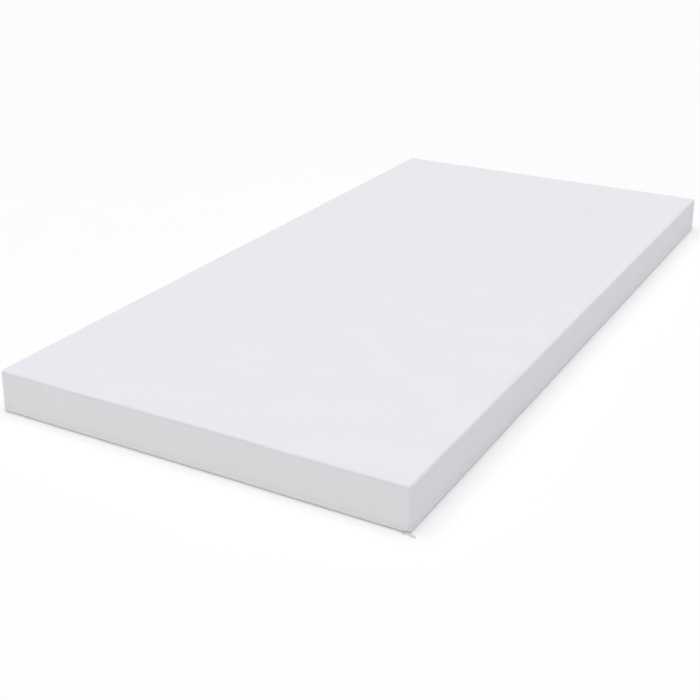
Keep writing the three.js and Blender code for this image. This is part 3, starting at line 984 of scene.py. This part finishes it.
low_tape = sweep("tape_lower", C, N, S,
                 [(4.8, 1.85), (9, 1.8), (13, 1.85), (17.6, 1.8), (17.75, 2.1), (17.6, 2.4), (13, 2.35), (9, 2.4), (5.5, 2.4),
                  (5.35, 2.5), (5.35, 2.95), (5.1, 3.02), (4.8, 2.95), (4.75, 2.3)], True)
finish_piece(low_tape, tape_mat, "lower_cover", "zip_tape", "zip_tape_lower")
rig.sheet(low_tape, flat=(0.0141, 5.93), held="laid", rests_on=["underside_panel"])


def flat_row(d, z, length, gap, radius):
    """Row of stitches lying on a face that looks up."""
    count = int(PERIM / (length + gap)); pitch = PERIM / count
    s0 = (np.arange(count) + 0.5) * pitch
    pos = np.column_stack([LC, LN])
    V = []
    for k, (t, h) in enumerate([(0, -0.5), (0.22, 0.5), (0.5, 0.75), (0.78, 0.5), (1, -0.5)]):
        s = s0 + (t - 0.5) * length
        p = np.stack([np.interp(s, LS, pos[:, i]) for i in range(4)], -1)
        nn = p[:, 2:] / np.linalg.norm(p[:, 2:], axis=1, keepdims=True)
        for a in np.radians([45, 135, 225, 315]):
            q = place(p[:, :2], nn, np.full(count, d * MM - math.cos(a) * radius))
            V.append(np.column_stack([q, np.full(count, z * MM + h * radius + math.sin(a) * radius)]))
    V = np.stack(V, 1)
    quads = [[k * 4 + j, k * 4 + (j + 1) % 4, (k + 1) * 4 + (j + 1) % 4, (k + 1) * 4 + j] for k in range(4) for j in range(4)]
    quads += [[3, 2, 1, 0], [16, 17, 18, 19]]
    quads = np.array(quads)
    tris = np.concatenate([quads[:, [0, 1, 2]], quads[:, [0, 2, 3]]])
    if signed_volume(V[0] - V[0].mean(0), tris) < 0:
        quads = quads[:, ::-1]
    return V.reshape(-1, 3), (quads[None] + (np.arange(count) * 20)[:, None, None]).reshape(-1, 4)


under_thread = make_mesh("underside_seam_stitches", *flat_row(12.4, 2.52, 4.2 * MM, 0.9 * MM, 0.25 * MM))
finish_piece(under_thread, thread_mat, "lower_cover", "thread", "underside_seam_thread")


# --------------------------------------------------------------------------
# Foam core
# --------------------------------------------------------------------------
cut_a, cut_b = waves(40, 0.02, 0.12, 51, stretch=(1.0, 0.5)), waves(40, 0.02, 0.12, 52, stretch=(1.0, 0.5))
face_a, face_b = waves(24, 0.1, 0.5, 53), waves(24, 0.1, 0.5, 54)


def foam_ring(noise, amp):
    def f(k, r, z, S, C, N):
        return amp * MM * noise(S, z * MM) * (1.0 if r > -1.3 else 0.3), 0.0 * S
    return f


ease = [(-5.1 + 3.9 * math.sin(t), 93.1 + 3.9 * math.cos(t)) for t in np.radians([0, 18, 36, 54, 72, 90])]
memory = shell("memory_foam", 66, 132,
               ease + [(-1.2, z) for z in (88, 82, 76, 70, 64, 60)] + [(-1.25, 57.6), (-1.5, 57.3)], 97.0, 57.3,
               f_top=lambda x, y: 0.10 * MM * face_a(x, y) - 0.1 * MM, f_ring=foam_ring(cut_a, 0.12))
finish_piece(memory, memory_mat, "core", "memory_foam", "memory_foam_layer")
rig.padded(memory, fill=1.0)
support = shell("support_foam", 66, 132,
                [(-1.5, 56.9), (-1.25, 56.6)] + [(-1.2, z) for z in (52, 46, 40, 34, 28, 22, 16, 10)] + [(-1.25, 4.2), (-1.5, 3.85)], 56.9, 3.85,
                f_ring=foam_ring(cut_b, 0.15))
finish_piece(support, support_mat, "core", "support_foam", "support_foam_base")
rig.padded(support, fill=1.0)


# --------------------------------------------------------------------------
# Care label: blank, sewn into the top seam at the far end
# --------------------------------------------------------------------------
llo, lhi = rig.box("care_label")
nu, nv = 13, 19
V = []
for layer in (0, 1):
    for i in range(nu):
        for j in range(nv):
            u, w = i / (nu - 1), j / (nv - 1)
            x = llo[0] + (lhi[0] - llo[0]) * u
            z = lhi[2] - (lhi[2] - llo[2]) * w
            bow = 0.9 * MM * math.sin(math.pi * w) + 2.2 * MM * w ** 3 + 0.4 * MM * w * math.sin(2.2 * math.pi * u + 0.6)
            # the border's belly pushes the label out
            belly = 0.9 * MM * math.sin(math.pi * min(1, max(0, (z / MM - 8) / 83.0)))
            y = 1.0 + 0.25 * MM + belly + bow + layer * 0.4 * MM + 0.3 * MM
            V.append([x, y, z])
quads = list(grid_faces(nu, nv)) 
a = np.array(quads); b = a[:, ::-1] + nu * nv
rim = [(i, 0) for i in range(nu)] + [(nu - 1, j) for j in range(1, nv)] + [(i, nv - 1) for i in range(nu - 2, -1, -1)] + [(0, j) for j in range(nv - 2, 0, -1)]
rid = [i * nv + j for i, j in rim]
walls = [[rid[k], rid[(k + 1) % len(rid)], rid[(k + 1) % len(rid)] + nu * nv, rid[k] + nu * nv] for k in range(len(rid))]
label = make_mesh("label", V, [list(q) for q in a] + [list(q) for q in b] + walls)
bmn = bmesh.new(); bmn.from_mesh(label.data); bmesh.ops.recalc_face_normals(bmn, faces=bmn.faces); bmn.to_mesh(label.data); bmn.free()
finish_piece(label, label_mat, "upper_cover", "label_satin", "care_label")
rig.sheet(label, flat=(0.040, 0.055), held="hung", rests_on=["border_back"])


# --------------------------------------------------------------------------
# Zip hardware
# --------------------------------------------------------------------------
def plate(bm, outline, holes, thickness, place, bevel=0.18, segs=2):
    """Flat plate from an outline (mm) with rounded edges; place maps (u, v, w) in mm to metres."""
    cu = bpy.data.curves.new("tmp", "CURVE")
    cu.dimensions = "2D"
    cu.fill_mode = "BOTH"
    cu.extrude = thickness / 2 - bevel
    cu.bevel_depth = bevel
    cu.bevel_resolution = segs
    for pts in [outline] + list(holes):
        sp = cu.splines.new("POLY")
        sp.points.add(len(pts) - 1)
        for p, (x, y) in zip(sp.points, pts):
            p.co = (x, y, 0, 1)
        sp.use_cyclic_u = True
    ob = bpy.data.objects.new("tmp", cu)
    bpy.context.scene.collection.objects.link(ob)
    dg = bpy.context.evaluated_depsgraph_get()
    me = bpy.data.meshes.new_from_object(ob.evaluated_get(dg))
    tmp = bmesh.new()
    tmp.from_mesh(me)
    bmesh.ops.remove_doubles(tmp, verts=tmp.verts, dist=0.004)
    bmesh.ops.recalc_face_normals(tmp, faces=tmp.faces)
    base = len(bm.verts)
    vm = [bm.verts.new(place(*v.co)) for v in tmp.verts]
    for f in tmp.faces:
        try:
            bm.faces.new([vm[v.index] for v in f.verts])
        except ValueError:
            pass
    tmp.free()
    bpy.data.objects.remove(ob)
    bpy.data.curves.remove(cu)
    bpy.data.meshes.remove(me)


def rounded(points, r, n=4):
    """Polygon with its corners rounded by r."""
    out = []
    m = len(points)
    for i in range(m):
        a, b, c = (np.array(points[(i + k) % m], float) for k in (-1, 0, 1))
        u, v = a - b, c - b
        lu, lv = np.linalg.norm(u), np.linalg.norm(v)
        t = min(r, lu * 0.45, lv * 0.45)
        p, q = b + u / lu * t, b + v / lv * t
        for k in range(n + 1):
            w = k / n
            out.append(tuple((1 - w) ** 2 * p + 2 * w * (1 - w) * b + w * w * q))
    return out


def close(bm, name):
    bmesh.ops.recalc_face_normals(bm, faces=bm.faces)
    me = bpy.data.meshes.new(name)
    bm.to_mesh(me)
    bm.free()
    for p in me.polygons:
        p.use_smooth = True
    ob = bpy.data.objects.new(name, me)
    bpy.context.scene.collection.objects.link(ob)
    mod = ob.modifiers.new("edges", "EDGE_SPLIT")
    mod.split_angle = math.radians(50)
    return ob


slo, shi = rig.box("zip_slider")
SXC = (slo[0] + shi[0]) / 2                     # slider's centre along X
YF = -1.0                                       # outer face of the front border


def on_face(thick_at):
    """Local u along X from the slider's centre, v up, w thickness about d = thick_at."""
    return lambda u, v, w: (SXC + u * MM, YF + (thick_at + w) * MM, (2.9 + v) * MM)


bm = bmesh.new()
outer = rounded([(-4.5, -1.2), (-3.2, -2.1), (3.2, -2.1), (4.5, -1.5), (4.5, 1.5), (3.2, 2.1), (-3.2, 2.1), (-4.5, 1.2)], 0.8)
plate(bm, outer, [], 1.2, on_face(2.15), 0.25, 3)
inner = rounded([(-3.9, 0.0), (-3.0, -0.1), (3.0, -0.1), (3.9, 0.0), (3.9, 1.6), (2.8, 2.05), (-2.8, 2.05), (-3.9, 1.6)], 0.5)
plate(bm, inner, [], 1.0, on_face(6.3), 0.2, 2)
# web between the coils: thin, a pointed wedge at its leading end
web = rounded([(-2.6, 2.6), (2.4, 2.6), (3.4, 4.2), (2.4, 5.95), (-2.6, 5.95)], 0.4)
plate(bm, web, [], 0.3, lambda u, v, w: (SXC + u * MM, YF + v * MM, (3.5 + w) * MM), 0.06, 1)
# bridge: an arched strap that comes out under the lip and holds the pull
arch, inn = [], []
for t in np.linspace(0, math.pi, 15):
    arch.append((3.05 * math.cos(t) * (1 + 0.05 * math.sin(t)), 1.7 - 5.05 * math.sin(t) ** 0.55))
for t in np.linspace(math.pi, 0, 15):
    inn.append((2.15 * math.cos(t) * (1 + 0.03 * math.sin(t)), 1.7 - 4.1 * math.sin(t) ** 0.55))
plate(bm, arch + inn, [], 0.95, lambda u, v, w: (SXC + u * MM, YF + v * MM, (2.5 + w) * MM), 0.2, 2)
slider_ob = close(bm, "slider_body")
finish_piece(slider_ob, nickel, "slider", "zip_metal", "zip_slider")

# Pull: cross-bar in the bridge, arms, neck, paddle with an eye and a raised rim
joint = next(j for j in frame["joints"] if j["name"] == "pull_swing")
px, py, pz = joint["pos_m"]
A = -math.radians(8.0)


def on_pull(u, v, w):
    x, y = u * math.cos(A) - w * math.sin(A), u * math.sin(A) + w * math.cos(A)
    return (px + x * MM, py + y * MM, pz + v * MM)


def arc_pts(cx, cy, r, a0, a1, n):
    return [(cx + r * math.cos(math.radians(a)), cy + r * math.sin(math.radians(a))) for a in np.linspace(a0, a1, n)]


bm = bmesh.new()
paddle = (arc_pts(0.32, -1.0, 0.8, 270, 180, 5)[::-1] + [(4.8, -1.8), (10.4, -1.78), (11.6, -1.95), (13.0, -2.22), (14.6, -2.3)]
          + arc_pts(25.7, 0, 2.3, -90, 90, 17) + [(14.6, 2.3), (13.0, 2.22), (11.6, 1.95), (10.4, 1.78), (4.8, 1.8)]
          + arc_pts(0.32, 1.0, 0.8, 90, 180, 5))
window = rounded([(0.56, -0.86), (4.5, -0.86), (4.5, 0.86), (0.56, 0.86)], 0.35)
eyes = [arc_pts(x0 + 1.35, 0, 1.35, 90, 270, 9) + arc_pts(x1 - 1.35, 0, 1.35, -90, 90, 9) for x0, x1 in ((14.6, 20.0), (21.4, 26.8))]
plate(bm, paddle, [window] + eyes, 1.0, on_pull, 0.22, 2)
# raised rims round the two windows and a raised panel on the neck
for x0, x1 in ((14.6, 20.0), (21.4, 26.8)):
    rim_o = arc_pts(x0 + 1.35, 0, 1.85, 90, 270, 11) + arc_pts(x1 - 1.35, 0, 1.85, -90, 90, 11)
    rim_i = arc_pts(x0 + 1.35, 0, 1.40, 90, 270, 9) + arc_pts(x1 - 1.35, 0, 1.40, -90, 90, 9)
    plate(bm, rim_o, [rim_i], 1.3, on_pull, 0.15, 2)
panel_o = rounded([(6.0, -1.2), (10.0, -1.2), (10.0, 1.2), (6.0, 1.2)], 0.5)
plate(bm, panel_o, [], 1.25, on_pull, 0.15, 2)
pull_ob = close(bm, "pull")
finish_piece(pull_ob, nickel, "pull", "zip_metal", "zip_pull")

# Stops: small rounded clips, closed over the coil
for node, along_x in (("zip_stop_closed_end", True), ("zip_stop_start", False)):
    lo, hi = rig.box(node)
    c = (lo + hi) / 2
    dims = (hi - lo) / MM
    bm = bmesh.new()
    ring = rounded([(-dims.z / 2, -0.9), (dims.z / 2, -0.9), (dims.z / 2, 0.9), (-dims.z / 2, 0.9)], 0.4)
    if along_x:
        put = lambda u, v, w: (c.x + w * MM, c.y + v * MM, c.z + u * MM)
    else:
        put = lambda u, v, w: (c.x + v * MM, c.y + w * MM, c.z + u * MM)
    plate(bm, ring, [], 1.6, put, 0.25, 2)
    ob = close(bm, node.replace("zip_stop", "stop"))
    finish_piece(ob, nickel, "lower_cover", "zip_metal", node)

new_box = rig.bounds()
with open("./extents.json", "w") as f:
    json.dump({"cad": [list(cad_box[0]), list(cad_box[1])], "visual": [list(new_box[0]), list(new_box[1])]}, f)
